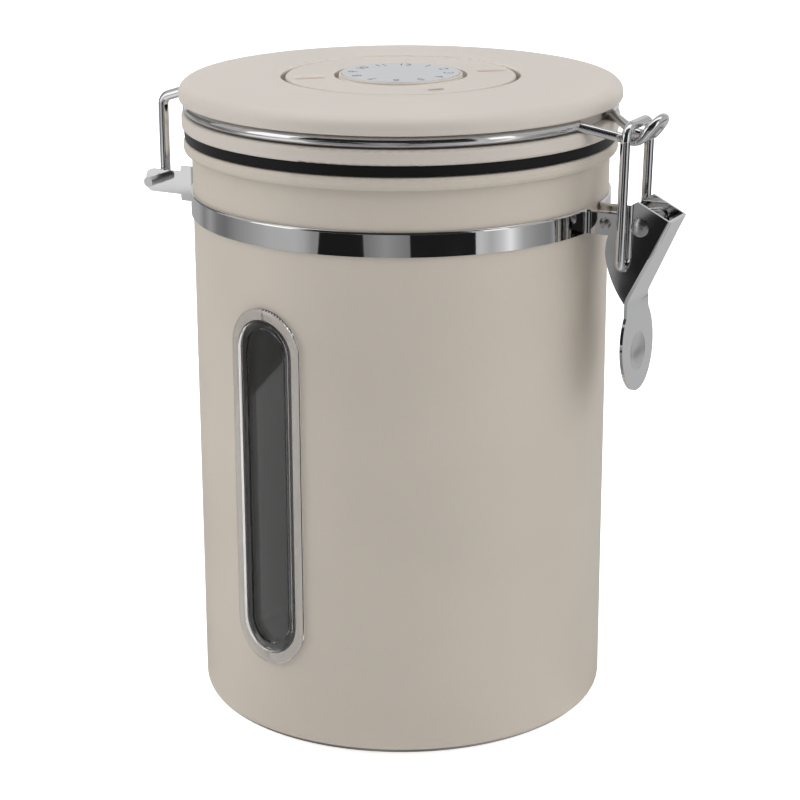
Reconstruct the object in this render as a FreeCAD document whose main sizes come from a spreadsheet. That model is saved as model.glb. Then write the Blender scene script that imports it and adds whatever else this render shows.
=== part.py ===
import FreeCAD
import Part
import Sketcher
import math
import os
from types import SimpleNamespace

Vector = FreeCAD.Vector

# Driving dimensions in millimetres and degrees. The origin is the centre of the base, +Z is up,
# the latch is on the +X side and the lid's hinge on the -X side.
SIZES = {
    # Drawn steel shell with a rolled lip and a stiffening groove pressed into its flat base
    "body_radius": 60.0,
    "body_height": 168.0,
    "wall": 0.8,
    "base_groove_inset": 12.0,
    "base_groove_width": 4.4,
    "base_groove_depth": 0.7,
    "base_corner_radius": 3.6,
    "lip_bulge": 2.3,
    "lip_height": 3.8,
    "lip_round": 1.4,
    # Long window in the side, between the base and the strap
    "window_angle": -100.9,
    "window_base_gap": 23.7,
    "window_band_gap": 17.5,
    "lens_flange_width": 24.2,
    "lens_flange_thickness": 1.1,
    "lens_flange_round": 0.8,
    "lens_step_depth": 1.0,
    "lens_floor_depth": 1.1,
    "lens_floor_thickness": 1.3,
    "lens_clearance": 0.1,
    "slot_side_border": 2.5,
    "slot_end_border": 3.2,
    "mouth_border": 0.6,
    "pane_border": 2.05,
    "window_seal_thickness": 0.4,
    "window_seal_margin": 0.4,
    "retainer_border": 3.0,
    "retainer_thickness": 1.2,
    # Strap clamp round the neck, its two ears hold the lever
    "band_height": 6.8,
    "band_drop": 18.5,
    "band_thickness": 0.6,
    "band_clearance": 0.03,
    "band_ear_offset": 4.5,
    "band_ear_bend": 1.6,
    "band_ear_length": 20.6,
    "band_ear_round": 2.6,
    "clamp_rivet_stand": 6.2,
    "clamp_rivet_radius": 1.0,
    "clamp_head_radius": 1.7,
    "clamp_head_height": 0.9,
    # Hinge bracket riveted to the strap
    "bracket_thickness": 1.0,
    "bracket_height": 10.4,
    "bracket_ear_offset": 13.5,
    "bracket_ear_bend": 3.0,
    "bracket_ear_length": 19.2,
    "bracket_ear_round": 2.4,
    "bracket_shoulder_length": 6.7,
    "bracket_taper": 0.3,
    "bracket_rivet_offset": 5.0,
    "bracket_rivet_radius": 1.0,
    "bracket_head_radius": 1.7,
    "bracket_head_height": 0.8,
    "hinge_stand": 14.5,
    "hinge_rise": 0.7,
    "hinge_clearance": 0.08,
    # Wire ring that carries the lid
    "ring_wire_diameter": 3.0,
    "ring_fit": 0.1,
    "ring_weld_angle": 11.0,
    "ring_flare_bend": 4.0,
    "ring_leg_run": 2.4,
    "ring_dip_bend": 4.0,
    "ring_leg_dip": 2.9,
    "ring_leg_bend": 3.0,
    "ring_foot_bend": 2.4,
    "ring_stub_proud": 6.0,
    "leg_ear_gap": 1.1,
    # Catch loop welded between the ring's two halves
    "nose_wire_diameter": 2.7,
    "nose_half_width": 4.6,
    "nose_neck_stand": 10.4,
    "nose_neck_drop": 3.55,
    "nose_crook_stand": 15.2,
    "nose_crook_drop": 4.55,
    "nose_tip_stand": 20.2,
    "nose_tip_rise": 1.85,
    "nose_neck_bend": 3.0,
    "nose_crook_bend": 3.6,
    # Lever, a folded channel with a dished thumb tab
    "pivot_stand": 17.0,
    "pivot_rise": 0.1,
    "pivot_radius": 1.5,
    "pivot_head_radius": 2.6,
    "pivot_head_height": 0.7,
    "pivot_clearance": 0.05,
    "lever_side_gap": 0.1,
    "lever_ear_gap": 0.5,
    "lever_thickness": 0.9,
    "lever_tilt": 26.2,
    "lever_fold_radius": 1.0,
    "spine_above_pivot": 5.9,
    "spine_outside_pivot": 7.0,
    "cheek_length": 28.0,
    "cheek_top_depth": 10.95,
    "cheek_depth": 14.15,
    "spine_length": 26.0,
    "neck_root": 6.0,
    "neck_bend": 5.0,
    "neck_half_width": 8.4,
    "tab_end_drop": 48.0,
    "tab_half_height": 13.2,
    "tab_half_width": 11.2,
    "tab_lean": 1.0,
    "tab_dish_radius": 5.4,
    "tab_dish_depth": 1.1,
    "tab_dish_drop": 2.0,
    # Link, a wire loop from the lever to the catch
    "link_wire_diameter": 2.7,
    "link_head_gap": 0.3,
    "link_foot_along": 18.3,
    "link_foot_inside": 6.15,
    "link_stand": 13.2,
    "link_rise": 0.05,
    "link_corner_bend": 4.2,
    "link_foot_bend": 2.2,
    "link_foot_proud": 0.9,
    "link_clearance": 0.08,
    # Lid: cover with the dial recess, base with the plug, and the seal between lid and lip
    "lid_overhang": 3.4,
    "lid_disc_height": 5.95,
    "lid_crown": 1.0,
    "lid_edge_round": 3.2,
    "lid_under_round": 0.9,
    "lid_neck_wall": 2.3,
    "groove_height": 3.7,
    "groove_depth": 4.2,
    "flange_overhang": 2.7,
    "flange_height": 4.25,
    "flange_round": 0.9,
    "plug_gap": 6.7,
    "plug_depth": 8.7,
    "plug_wall": 2.2,
    "plug_floor": 2.2,
    "seal_height": 2.9,
    "seal_set_in": 0.5,
    "seal_inset": 0.4,
    "seal_rest_gap": 0.15,
    "seal_fit": 0.05,
    # Turning dial, a ring round a fixed cap with the number plate
    "recess_radius": 34.4,
    "recess_depth": 3.0,
    "recess_floor_thickness": 2.2,
    "dial_gap": 1.5,
    "dial_float": 0.2,
    "dial_round": 0.6,
    "dial_pocket_radius": 19.1,
    "dial_pocket_depth": 1.8,
    "dial_clearance": 0.08,
    "dial_play": 0.15,
    "rib_reach": 26.6,
    "rib_length": 8.6,
    "rib_width": 2.4,
    "rib_height": 0.9,
    "rib_round": 0.6,
    "rib_angle": 41.0,
    "pointer_reach": 24.8,
    "pointer_length": 3.4,
    "pointer_width": 4.6,
    "pointer_height": 0.45,
    "pointer_angle": -42.0,
    "cap_stem_radius": 12.0,
    "cap_gap": 1.4,
    "cap_proud": 0.5,
    "cap_round": 0.5,
    "cap_spigot_radius": 4.9,
    "cap_spigot_clearance": 0.1,
    "cap_spigot_gap": 0.2,
    "plate_border": 0.8,
    "plate_thickness": 0.4,
    "plate_recess": 0.3,
    "plate_clearance": 0.1,
    "dial_screw_radius": 1.3,
    "dial_screw_depth": 2.4,
    "dial_screw_head_radius": 3.0,
    "dial_screw_head_height": 1.4,
    "dial_washer_radius": 8.4,
    "dial_washer_thickness": 0.8,
    # One-way valve in the plug's floor
    "vent_radius": 1.6,
    "vent_ring_radius": 6.6,
    "post_radius": 2.0,
    "post_height": 4.4,
    "valve_radius": 10.6,
    "valve_thickness": 1.2,
    "valve_clearance": 0.06,
    "valve_lift": 0.8,
    "valve_seat_gap": 0.05,
    "valve_stop_gap": 0.15,
    "cage_gap": 1.2,
    "cage_wall": 2.2,
    "cage_roof": 1.0,
    "cage_slot_width": 6.0,
    "grille_radius": 15.0,
    "grille_wall": 1.2,
    "grille_height": 2.6,
    "grille_floor": 1.0,
    "grille_hole_radius": 1.0,
    "grille_hole_pitch": 3.9,
    "filter_thickness": 1.2,
    "filter_clearance": 0.1,
    # Every cut runs past the material by this much
    "overrun": 5.0,
}
# Where the cheek's curved edge passes, as shares of its length and of its depth
CHEEK_BULGE_SHARES = (0.30, 1.0)
CHEEK_TURN_SHARES = (0.65, 0.86)
CHEEK_TAIL_SHARES = (0.91, 0.33)
# A bend of half a right angle carries a wall's offset by this share of the wall
BEND_SHARE = math.tan(math.radians(22.5))
VENT_COUNT = 6
GRILLE_RINGS = 2
MATCH = 1e-4


class Length:
    """A size with both its value and the expression that binds it to the sheet."""

    def __init__(self, text, value):
        self.text = text
        self.value = value

    def combine(self, sign, other, value):
        other_text = other.text if isinstance(other, Length) else repr(other)
        return Length(f"({self.text} {sign} {other_text})", value)

    def __add__(self, other):
        return self.combine("+", other, self.value + float(other))

    def __sub__(self, other):
        return self.combine("-", other, self.value - float(other))

    def __mul__(self, other):
        return self.combine("*", other, self.value * float(other))

    def __truediv__(self, other):
        return self.combine("/", other, self.value / float(other))

    def __float__(self):
        return self.value


doc = FreeCAD.newDocument("CoffeeCanister")
sheet = doc.addObject("Spreadsheet::Sheet", "Sizes")
for row, (alias, value) in enumerate(SIZES.items(), start=1):
    sheet.set(f"A{row}", alias)
    sheet.set(f"B{row}", str(value))
    sheet.setAlias(f"B{row}", alias)
doc.recompute()
S = SimpleNamespace(**{name: Length(f"Sizes.{name}", float(getattr(sheet, name))) for name in SIZES})
nodes = []

# Levels and radii that follow from the sizes, from the base up to the lid's top
S.base_groove_radius = S.body_radius - S.base_groove_inset
S.lip_radius = S.body_radius + S.lip_bulge
S.band_middle_height = S.body_height - S.band_drop
S.flange_under_height = S.body_height + S.seal_rest_gap + S.seal_height
S.lid_split_height = S.flange_under_height + S.flange_height
S.lid_under_height = S.lid_split_height + S.groove_height
S.lid_height = S.lid_under_height + S.lid_disc_height
S.recess_floor_height = S.lid_height - S.recess_depth
S.lid_top_under_height = S.recess_floor_height - S.recess_floor_thickness
S.lid_radius = S.body_radius + S.lid_overhang
S.flange_radius = S.body_radius + S.flange_overhang
S.lid_neck_radius = S.lid_radius - S.groove_depth
S.plug_radius = S.body_radius - S.wall - S.plug_gap
S.plug_under_height = S.flange_under_height - S.plug_depth
S.seal_top_radius = S.flange_radius - S.seal_set_in
S.seal_bottom_radius = S.lip_radius - S.seal_inset
# The window's outlines, each one inside the last by its border
window_top = S.band_middle_height - S.band_height / 2 - S.window_band_gap
S.lens_flange_height = window_top - S.window_base_gap
S.window_middle_height = S.window_base_gap + S.lens_flange_height / 2
S.slot_width = S.lens_flange_width - S.slot_side_border * 2
S.slot_height = S.lens_flange_height - S.slot_end_border * 2
S.lens_mouth_width = S.slot_width - S.mouth_border * 2
S.lens_mouth_height = S.slot_height - S.mouth_border * 2
S.lens_floor_width = S.lens_mouth_width - S.pane_border * 2
S.lens_floor_height = S.lens_mouth_height - S.pane_border * 2
S.retainer_width = S.slot_width + S.retainer_border * 2
S.retainer_height = S.slot_height + S.retainer_border * 2
# The hardware's places, measured out from the body and up from the strap or the ring
S.band_ear_reach = S.body_radius + S.band_ear_length
S.clamp_rivet_reach = S.body_radius + S.clamp_rivet_stand
S.bracket_ear_reach = S.body_radius + S.bracket_ear_length
S.bracket_shoulder = S.body_radius + S.bracket_shoulder_length
S.hinge_reach = S.body_radius + S.hinge_stand
S.hinge_height = S.band_middle_height + S.hinge_rise
S.ring_radius = S.lid_neck_radius + S.ring_fit + S.ring_wire_diameter / 2
S.ring_height = S.lid_split_height + S.groove_height / 2
ear_inside = S.bracket_ear_offset - S.bracket_thickness / 2
S.ring_leg_offset = ear_inside - S.leg_ear_gap - S.ring_wire_diameter / 2
S.ring_stub_end = S.bracket_ear_offset + S.bracket_thickness / 2 + S.ring_stub_proud
S.ring_leg_height = S.ring_height - S.ring_leg_dip
S.nose_neck_reach = S.body_radius + S.nose_neck_stand
S.nose_neck_height = S.ring_height - S.nose_neck_drop
S.nose_crook_reach = S.body_radius + S.nose_crook_stand
S.nose_crook_height = S.ring_height - S.nose_crook_drop
S.nose_tip_reach = S.body_radius + S.nose_tip_stand
S.nose_tip_height = S.ring_height + S.nose_tip_rise
S.pivot_reach = S.body_radius + S.pivot_stand
S.pivot_height = S.band_middle_height + S.pivot_rise
S.lever_half_width = S.band_ear_offset + S.band_thickness / 2 + S.lever_ear_gap + S.lever_thickness
rivet_face = S.lever_half_width + S.lever_side_gap + S.pivot_head_height
S.link_half_width = rivet_face + S.link_head_gap + S.link_wire_diameter / 2
S.link_foot_end = S.lever_half_width - S.lever_thickness - S.link_foot_proud
S.link_reach = S.body_radius + S.link_stand
S.link_height = S.ring_height + S.link_rise
# Dial and valve
S.dial_radius = S.recess_radius - S.dial_gap
S.cap_radius = S.dial_pocket_radius - S.cap_gap
S.plate_radius = S.cap_radius - S.plate_border
S.cage_inner_radius = S.valve_radius + S.cage_gap
S.cage_radius = S.cage_inner_radius + S.cage_wall


def bind(item, prop, length):
    """Bind a property of a document object to the sheet."""
    item.setExpression(prop, length.text)


def plain(name):
    """The bare number of a size, for shapes that are made in code."""
    return getattr(S, name).value


def new_body(name):
    body = doc.addObject("PartDesign::Body", name)
    body.Label = name
    nodes.append(body)
    return body


def new_feature(name, shape):
    feature = doc.addObject("Part::Feature", name)
    feature.Label = name
    feature.Shape = shape
    feature.Placement = FreeCAD.Placement()
    nodes.append(feature)
    return feature


def origin_plane(body, role):
    return next(plane for plane in body.Origin.OriginFeatures if plane.Role == role)


def new_sketch(body, name, role):
    sketch = body.newObject("Sketcher::SketchObject", name)
    sketch.AttachmentSupport = [(origin_plane(body, role), "")]
    sketch.MapMode = "FlatFace"
    return sketch


def turn_sketch(sketch, axis, angle):
    """Turn a sketch by a bound angle. The first turn only sets the axis."""
    sketch.AttachmentOffset = FreeCAD.Placement(Vector(0, 0, 0), FreeCAD.Rotation(axis, 90))
    sketch.setExpression("AttachmentOffset.Rotation.Angle", angle)


def pin_coordinate(sketch, kind, axis, geometry, point, length):
    """Hold one coordinate of a sketch point: on the axis when it is zero, else at a bound distance."""
    if float(length) == 0:
        sketch.addConstraint(Sketcher.Constraint("PointOnObject", geometry, point, axis))
        return
    number = sketch.addConstraint(Sketcher.Constraint(kind, -1, 1, geometry, point, float(length)))
    if isinstance(length, Length):
        sketch.setExpression(f"Constraints[{number}]", length.text)


def pin(sketch, geometry, point, across, up):
    pin_coordinate(sketch, "DistanceX", -2, geometry, point, across)
    pin_coordinate(sketch, "DistanceY", -1, geometry, point, up)


def outline(body, name, role, points):
    """A closed outline of straight sides through bound points."""
    sketch = new_sketch(body, name, role)
    corners = [Vector(float(across), float(up), 0) for across, up in points]
    for first, second in zip(corners, corners[1:] + corners[:1]):
        sketch.addGeometry(Part.LineSegment(first, second))
    for side in range(len(corners)):
        following = (side + 1) % len(corners)
        sketch.addConstraint(Sketcher.Constraint("Coincident", side, 2, following, 1))
    for side, (across, up) in enumerate(points):
        pin(sketch, side, 1, across, up)
    return sketch


def obround(sketch, width, height, middle):
    """An upright slot outline with round ends, centred on the sketch's vertical axis."""
    radius = width / 2
    top = middle + (height - width) / 2
    bottom = middle - (height - width) / 2
    r, high, low = float(radius), float(top), float(bottom)
    axis = Vector(0, 0, 1)
    sketch.addGeometry(Part.LineSegment(Vector(r, low, 0), Vector(r, high, 0)))
    sketch.addGeometry(Part.ArcOfCircle(Part.Circle(Vector(0, high, 0), axis, r), 0, math.pi))
    sketch.addGeometry(Part.LineSegment(Vector(-r, high, 0), Vector(-r, low, 0)))
    sketch.addGeometry(Part.ArcOfCircle(Part.Circle(Vector(0, low, 0), axis, r), math.pi, 2 * math.pi))
    for first, second in ((0, 1), (1, 2), (2, 3), (3, 0)):
        sketch.addConstraint(Sketcher.Constraint("Tangent", first, 2, second, 1))
    sketch.addConstraint(Sketcher.Constraint("Equal", 1, 3))
    number = sketch.addConstraint(Sketcher.Constraint("Radius", 1, r))
    sketch.setExpression(f"Constraints[{number}]", radius.text)
    pin(sketch, 1, 3, 0, top)
    pin(sketch, 3, 3, 0, bottom)


def revolve(body, name, points):
    """Turn a profile of (radius, height) points about the vertical axis."""
    sketch = outline(body, name + "_profile", "XZ_Plane", points)
    turned = body.newObject("PartDesign::Revolution", name + "_turned")
    turned.Profile = sketch
    turned.ReferenceAxis = (sketch, ["V_Axis"])
    turned.Angle = 360
    doc.recompute()
    return turned


def ring_edges(shape, radius, height):
    names = []
    for number, edge in enumerate(shape.Edges, start=1):
        curve = edge.Curve
        if not isinstance(curve, Part.Circle):
            continue
        if abs(curve.Radius - float(radius)) < MATCH and abs(curve.Center.z - float(height)) < MATCH:
            names.append(f"Edge{number}")
    return names


def round_rings(body, name, rings, radius):
    """Fillet the circular edges at the given (radius, height) places."""
    base = body.Tip
    names = [edge for ring in rings for edge in ring_edges(base.Shape, *ring)]
    fillet = body.newObject("PartDesign::Fillet", name)
    fillet.Base = (base, names)
    bind(fillet, "Radius", radius)
    doc.recompute()


def upright_cut(body, name, sketch, length, reverse=False):
    pocket = body.newObject("PartDesign::Pocket", name)
    pocket.Profile = sketch
    pocket.Reversed = reverse
    bind(pocket, "Length", length)
    doc.recompute()
    return pocket


def polar(radius, degrees, height=0.0):
    angle = math.radians(degrees)
    return Vector(radius * math.cos(angle), radius * math.sin(angle), height)


def mirrored(point):
    return Vector(point.x, -point.y, point.z)


def arc(first, middle, last):
    return Part.Arc(first, middle, last).toShape()


def line(first, second):
    return Part.LineSegment(first, second).toShape()


def bent_path(points, bends):
    """Edges through the points, with a tangent arc of the given radius at each inner point."""
    edges = []
    start = points[0]
    for before, corner, after, bend in zip(points, points[1:], points[2:], bends):
        back = (before - corner).normalize()
        ahead = (after - corner).normalize()
        half = back.getAngle(ahead) / 2
        setback = bend / math.tan(half)
        middle = (back + ahead).normalize() * (bend / math.sin(half) - bend)
        first = corner + back * setback
        last = corner + ahead * setback
        edges.append(line(start, first))
        edges.append(arc(first, corner + middle, last))
        start = last
    edges.append(line(start, points[-1]))
    return edges


def wire_solid(edges, diameter):
    """Round wire along a path of tangent lines and arcs."""
    path = Part.Wire(Part.__sortEdges__(edges))
    start = path.OrderedVertexes[0].Point
    first = path.OrderedEdges[0]
    heading = first.tangentAt(first.FirstParameter)
    if (first.valueAt(first.FirstParameter) - start).Length > MATCH:
        heading = first.tangentAt(first.LastParameter) * -1
    section = Part.Wire([Part.Circle(start, heading, diameter / 2).toShape()])
    return path.makePipeShell([section], True, False)


def flare(ring_radius, bend, bend_offset):
    """Where a strip or wire leaves a circle round the axis for the +X direction, on the -Y side.

    The bend's centre lies outside the circle, at bend_offset from the middle plane."""
    reach = math.sqrt((ring_radius + bend) ** 2 - bend_offset ** 2)
    centre = Vector(reach, -bend_offset, 0)
    on_ring = centre * (ring_radius / (ring_radius + bend))
    return centre, on_ring


def arc_middle(centre, first, last):
    radius = (first - centre).Length
    return centre + ((first - centre) + (last - centre)).normalize() * radius


def upright_strip(edges, thickness, low, high):
    """A strip on edge along a path in the horizontal plane."""
    path = Part.Wire(Part.__sortEdges__(edges))
    start = path.OrderedVertexes[0].Point
    first = path.OrderedEdges[0]
    heading = first.tangentAt(first.FirstParameter)
    if (first.valueAt(first.FirstParameter) - start).Length > MATCH:
        heading = first.tangentAt(first.LastParameter) * -1
    side = heading.cross(Vector(0, 0, 1)) * (thickness / 2)
    lift = Vector(0, 0, high - low)
    corners = [start + side, start - side, start - side + lift, start + side + lift]
    section = Part.makePolygon(corners + corners[:1])
    strip = path.makePipeShell([section], True, False)
    strip.translate(Vector(0, 0, low))
    return strip


def cross_pin(radius, reach, height, half_length):
    """A round bar across the middle plane."""
    return Part.makeCylinder(radius, 2 * half_length, Vector(reach, -half_length, height), Vector(0, 1, 0))


def dome(radius, height, base, direction):
    """A domed rivet head standing on a flat face."""
    ball = (radius ** 2 + height ** 2) / (2 * height)
    sphere = Part.makeSphere(ball, base + direction * (height - ball))
    block = Part.makeCylinder(radius, height, base, direction)
    return sphere.common(block)


def two_headed_rivet(radius, head_radius, head_height, reach, height, half_grip):
    shank = cross_pin(radius, reach, height, half_grip)
    heads = [
        dome(head_radius, head_height, Vector(reach, side * half_grip, height), Vector(0, side, 0))
        for side in (-1, 1)
    ]
    return shank.fuse(heads).removeSplitter()


# Canister body
def make_canister_body():
    body = new_body("canister_body")
    inner = S.body_radius - S.wall
    lip_under = S.body_height - S.lip_height
    shift = S.wall * BEND_SHARE
    groove_in = S.base_groove_radius - S.base_groove_width / 2
    groove_out = S.base_groove_radius + S.base_groove_width / 2
    depth = S.base_groove_depth
    revolve(body, "shell", [
        (0, 0),
        (groove_in, 0),
        (groove_in + depth, depth),
        (groove_out - depth, depth),
        (groove_out, 0),
        (S.body_radius, 0),
        (S.body_radius, lip_under),
        (S.lip_radius, lip_under),
        (S.lip_radius, S.body_height),
        (inner, S.body_height),
        (inner, S.wall),
        (groove_out + shift, S.wall),
        (groove_out - depth + shift, depth + S.wall),
        (groove_in + depth - shift, depth + S.wall),
        (groove_in - shift, S.wall),
        (0, S.wall),
    ])
    round_rings(body, "base_inner_corner", [(inner, S.wall)], S.base_corner_radius - S.wall)
    round_rings(body, "base_corner", [(S.body_radius, Length("0", 0.0))], S.base_corner_radius)
    round_rings(body, "rolled_lip", [(S.lip_radius, S.body_height), (S.lip_radius, lip_under)], S.lip_round)
    slot = new_sketch(body, "window_slot", "XZ_Plane")
    turn_sketch(slot, Vector(0, 1, 0), f"{S.window_angle.text} + 90")
    obround(slot, S.slot_width, S.slot_height, S.window_middle_height)
    upright_cut(body, "window_opening", slot, S.body_radius + S.overrun, reverse=True)


# Window lens, its seal and the retainer inside the wall
def window_prism(width, height, inner, outer):
    """A curved plate of obround outline between two radii, at the window's place."""
    half = width / 2
    straight = height - width
    low = plain("window_middle_height") - straight / 2
    high = low + straight
    start = Vector(0, -half, low)
    edges = [
        line(start, Vector(0, -half, high)),
        arc(Vector(0, -half, high), Vector(0, 0, high + half), Vector(0, half, high)),
        line(Vector(0, half, high), Vector(0, half, low)),
        arc(Vector(0, half, low), Vector(0, 0, low - half), start),
    ]
    prism = Part.Face(Part.Wire(edges)).extrude(Vector(outer + plain("overrun"), 0, 0))
    bottom = low - half - plain("overrun")
    depth = height + 2 * plain("overrun")
    tube = Part.makeCylinder(outer, depth, Vector(0, 0, bottom))
    tube = tube.cut(Part.makeCylinder(inner, depth, Vector(0, 0, bottom)))
    plate = prism.common(tube)
    plate.rotate(Vector(0, 0, 0), Vector(0, 0, 1), plain("window_angle"))
    return plate


def make_window():
    fit = plain("lens_clearance")
    seat = plain("body_radius") + plain("window_seal_thickness")
    face = seat + plain("lens_flange_thickness")
    step = face - plain("lens_step_depth")
    floor = step - plain("lens_floor_depth")
    back = floor - plain("lens_floor_thickness")
    plug_width = plain("slot_width") - 2 * fit
    plug_height = plain("slot_height") - 2 * fit
    flange = window_prism(plain("lens_flange_width"), plain("lens_flange_height"), seat, face)
    rim = [
        edge
        for edge in flange.Edges
        if all(abs(math.hypot(corner.X, corner.Y) - face) < MATCH for corner in edge.Vertexes)
    ]
    flange = flange.makeFillet(plain("lens_flange_round"), rim)
    lens = flange.fuse(window_prism(plug_width, plug_height, back, face))
    mouth_end = face + plain("overrun")
    mouth = window_prism(plain("lens_mouth_width"), plain("lens_mouth_height"), step, mouth_end)
    pane = window_prism(plain("lens_floor_width"), plain("lens_floor_height"), floor, face)
    lens = lens.cut(mouth).cut(pane).removeSplitter()
    new_feature("window_lens", lens)

    margin = 2 * plain("window_seal_margin")
    seal = window_prism(
        plain("lens_flange_width") - margin,
        plain("lens_flange_height") - margin,
        plain("body_radius"),
        seat,
    )
    inside = plain("body_radius") - plain("wall")
    frame_back = inside - plain("retainer_thickness")
    opening = window_prism(
        plain("slot_width"), plain("slot_height"), frame_back - plain("overrun"), seat + plain("overrun")
    )
    new_feature("window_seal", seal.cut(opening))

    frame = window_prism(plain("retainer_width"), plain("retainer_height"), frame_back, inside - fit)
    new_feature("window_retainer", frame.cut(opening))


# Strap clamp with the ears that hold the lever, and the rivet that closes it
def band_centre_radius():
    return plain("body_radius") + plain("band_clearance") + plain("band_thickness") / 2


def make_clamp_band():
    radius = band_centre_radius()
    bend = plain("band_ear_bend") + plain("band_thickness") / 2
    offset = plain("band_ear_offset")
    centre, on_ring = flare(radius, bend, offset + bend)
    ear_start = Vector(centre.x, -offset, 0)
    ear_end = Vector(plain("band_ear_reach"), -offset, 0)
    bend_middle = arc_middle(centre, on_ring, ear_start)
    edges = [
        line(ear_end, ear_start),
        arc(ear_start, bend_middle, on_ring),
        arc(on_ring, Vector(-radius, 0, 0), mirrored(on_ring)),
        arc(mirrored(on_ring), mirrored(bend_middle), mirrored(ear_start)),
        line(mirrored(ear_start), mirrored(ear_end)),
    ]
    low = plain("band_middle_height") - plain("band_height") / 2
    high = low + plain("band_height")
    band = upright_strip(edges, plain("band_thickness"), low, high)
    ends = [
        edge
        for edge in band.Edges
        if abs(edge.CenterOfMass.x - plain("band_ear_reach")) < MATCH
        and abs(edge.Length - plain("band_thickness")) < MATCH
    ]
    band = band.makeFillet(plain("band_ear_round"), ends)
    height = plain("band_middle_height")
    half = offset + plain("overrun")
    pivot = cross_pin(plain("pivot_radius"), plain("pivot_reach"), plain("pivot_height"), half)
    rivet = cross_pin(plain("clamp_rivet_radius"), plain("clamp_rivet_reach"), height, half)
    band = band.cut(pivot).cut(rivet)
    for hole in bracket_rivet_shanks():
        band = band.cut(hole)
    new_feature("clamp_band", band)
    grip = offset + plain("band_thickness") / 2
    closing = two_headed_rivet(
        plain("clamp_rivet_radius"),
        plain("clamp_head_radius"),
        plain("clamp_head_height"),
        plain("clamp_rivet_reach"),
        height,
        grip,
    )
    new_feature("clamp_rivet", closing)


# Hinge bracket on the back of the strap
def bracket_inner_radius():
    return plain("body_radius") + 2 * plain("band_clearance") + plain("band_thickness")


def bracket_rivet_angles():
    turn = math.degrees(math.asin(plain("bracket_rivet_offset") / bracket_inner_radius()))
    return (180 - turn, 180 + turn)


def bracket_rivet_shanks():
    inner = plain("body_radius") + plain("band_clearance")
    outer = bracket_inner_radius() + plain("bracket_thickness")
    shanks = []
    for angle in bracket_rivet_angles():
        start = polar(inner, angle, plain("band_middle_height"))
        shank = Part.makeCylinder(plain("bracket_rivet_radius"), outer - inner, start, polar(1, angle))
        shanks.append(shank)
    return shanks


def make_hinge_bracket():
    thickness = plain("bracket_thickness")
    radius = bracket_inner_radius() + thickness / 2
    bend = plain("bracket_ear_bend")
    offset = plain("bracket_ear_offset")
    centre, on_ring = flare(radius, bend, offset - bend)
    ear_start = Vector(centre.x, -offset, 0)
    ear_end = Vector(plain("bracket_ear_reach"), -offset, 0)
    bend_middle = centre + ((on_ring - centre).normalize() + Vector(0, -1, 0)).normalize() * bend
    edges = [
        line(ear_end, ear_start),
        arc(ear_start, bend_middle, on_ring),
        arc(on_ring, Vector(radius, 0, 0), mirrored(on_ring)),
        arc(mirrored(on_ring), mirrored(bend_middle), mirrored(ear_start)),
        line(mirrored(ear_start), mirrored(ear_end)),
    ]
    middle = plain("band_middle_height")
    half = plain("bracket_height") / 2
    ear_half = plain("band_height") / 2
    strip = upright_strip(edges, thickness, middle - half, middle + half)
    shoulder = plain("bracket_shoulder")
    reach = plain("bracket_ear_reach")
    corner = plain("bracket_ear_round")
    slope = plain("bracket_taper")
    upper = [
        Vector(0, 0, half),
        Vector(shoulder, 0, half),
        Vector(shoulder + slope, 0, ear_half),
        Vector(reach, 0, ear_half),
    ]
    lower = [Vector(point.x, 0, -point.z) for point in reversed(upper)]
    side = Part.Face(Part.makePolygon(upper + lower + upper[:1]))
    side_prism = side.extrude(Vector(0, 2 * (offset + thickness), 0))
    side_prism.translate(Vector(0, -offset - thickness, middle))
    tips = [
        edge
        for edge in side_prism.Edges
        if abs(edge.CenterOfMass.x - reach) < MATCH and abs(edge.CenterOfMass.y) < MATCH
    ]
    side_prism = side_prism.makeFillet(corner, tips)
    bracket = strip.common(side_prism)
    bracket.rotate(Vector(0, 0, 0), Vector(0, 0, 1), 180)
    bore = plain("ring_wire_diameter") / 2 + plain("hinge_clearance")
    eye = cross_pin(bore, -plain("hinge_reach"), plain("hinge_height"), offset + plain("overrun"))
    bracket = bracket.cut(eye)
    rivets = []
    for angle, shank in zip(bracket_rivet_angles(), bracket_rivet_shanks()):
        bracket = bracket.cut(shank)
        outward = polar(1, angle)
        foot = polar(bracket_inner_radius() + thickness, angle, middle)
        head = dome(plain("bracket_head_radius"), plain("bracket_head_height"), foot, outward)
        rivets.append(shank.fuse(head).removeSplitter())
    new_feature("hinge_bracket", bracket)
    new_feature("hinge_bracket_rivets", Part.makeCompound(rivets))


# Wire ring in two halves, from the catch round to the hinge
def ring_half_edges():
    radius = plain("ring_radius")
    height = plain("ring_height")
    offset = plain("ring_leg_offset")
    bend = plain("ring_flare_bend")
    centre, on_ring = flare(radius, bend, offset + bend)
    lift = Vector(0, 0, height)
    ring_end = Vector(-on_ring.x, on_ring.y, 0) + lift
    bend_centre = Vector(-centre.x, centre.y, 0) + lift
    leg_start = Vector(-centre.x, -offset, 0) + lift
    weld = polar(radius, -plain("ring_weld_angle"), height)
    edges = [
        arc(weld, polar(radius, -90, height), ring_end),
        arc(ring_end, arc_middle(bend_centre, ring_end, leg_start), leg_start),
    ]
    reach = -plain("hinge_reach")
    foot = plain("hinge_height")
    edges += bent_path(
        [
            leg_start,
            leg_start - Vector(plain("ring_leg_run"), 0, 0),
            Vector(reach, -offset, plain("ring_leg_height")),
            Vector(reach, -offset, foot),
            Vector(reach, -plain("ring_stub_end"), foot),
        ],
        [plain("ring_dip_bend"), plain("ring_leg_bend"), plain("ring_foot_bend")],
    )
    return edges


def make_ring():
    near = wire_solid(ring_half_edges(), plain("ring_wire_diameter"))
    far = near.mirror(Vector(0, 0, 0), Vector(0, 1, 0))
    new_feature("ring_wire_near", near)
    new_feature("ring_wire_far", far)


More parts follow.
